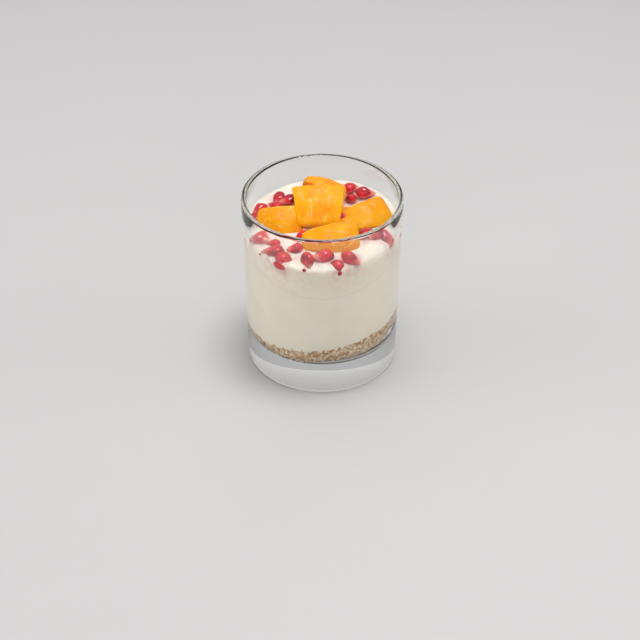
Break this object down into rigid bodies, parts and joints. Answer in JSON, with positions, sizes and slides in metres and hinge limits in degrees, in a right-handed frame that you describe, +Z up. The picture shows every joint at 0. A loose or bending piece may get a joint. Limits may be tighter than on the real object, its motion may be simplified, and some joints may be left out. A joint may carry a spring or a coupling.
{
  "type": "yogurt parfait",
  "caption": "Yogurt parfait in a straight heavy-based glass tumbler: a crumb layer, plain yogurt, and peach slices with pomegranate arils on top",
  "frame": {"origin": "middle of the flat underside of the glass, where it meets the table", "axes": "+Z up along the axis of the glass; -Y is the side that the peach slices face; +X is to the right seen from there"},
  "size_m": [0.082, 0.082, 0.0978],
  "materials": {
    "glass": "clear smooth soda-lime glass",
    "crumbs": "coarse matt oat and biscuit crumbs",
    "yogurt": "smooth creamy yogurt with a soft sheen",
    "peach": "wet, slightly translucent peach flesh",
    "aril": "glossy translucent red arils"
  },
  "bodies": {
    "root": {"glass": "glass", "crumb_layer": "crumbs", "yogurt": "yogurt", "peach_slice_front_top": "peach", "peach_slice_back_top": "peach", "peach_slice_left": "peach", "peach_slice_right": "peach", "peach_slice_front": "peach", "peach_slice_under": "peach", "pomegranate_aril_1": "aril", "pomegranate_aril_2": "aril", "pomegranate_aril_3": "aril", "pomegranate_aril_4": "aril", "pomegranate_aril_5": "aril", "pomegranate_aril_6": "aril", "pomegranate_aril_7": "aril", "pomegranate_aril_8": "aril", "pomegranate_aril_9": "aril", "pomegranate_aril_10": "aril", "pomegranate_aril_11": "aril", "pomegranate_aril_12": "aril", "pomegranate_aril_13": "aril", "pomegranate_aril_14": "aril", "pomegranate_aril_15": "aril", "pomegranate_aril_16": "aril", "pomegranate_aril_17": "aril", "pomegranate_aril_18": "aril", "pomegranate_aril_19": "aril", "pomegranate_aril_20": "aril", "pomegranate_aril_21": "aril", "pomegranate_aril_22": "aril", "pomegranate_aril_23": "aril", "pomegranate_aril_24": "aril", "pomegranate_aril_25": "aril", "pomegranate_aril_26": "aril"}
  },
  "joints": []
}
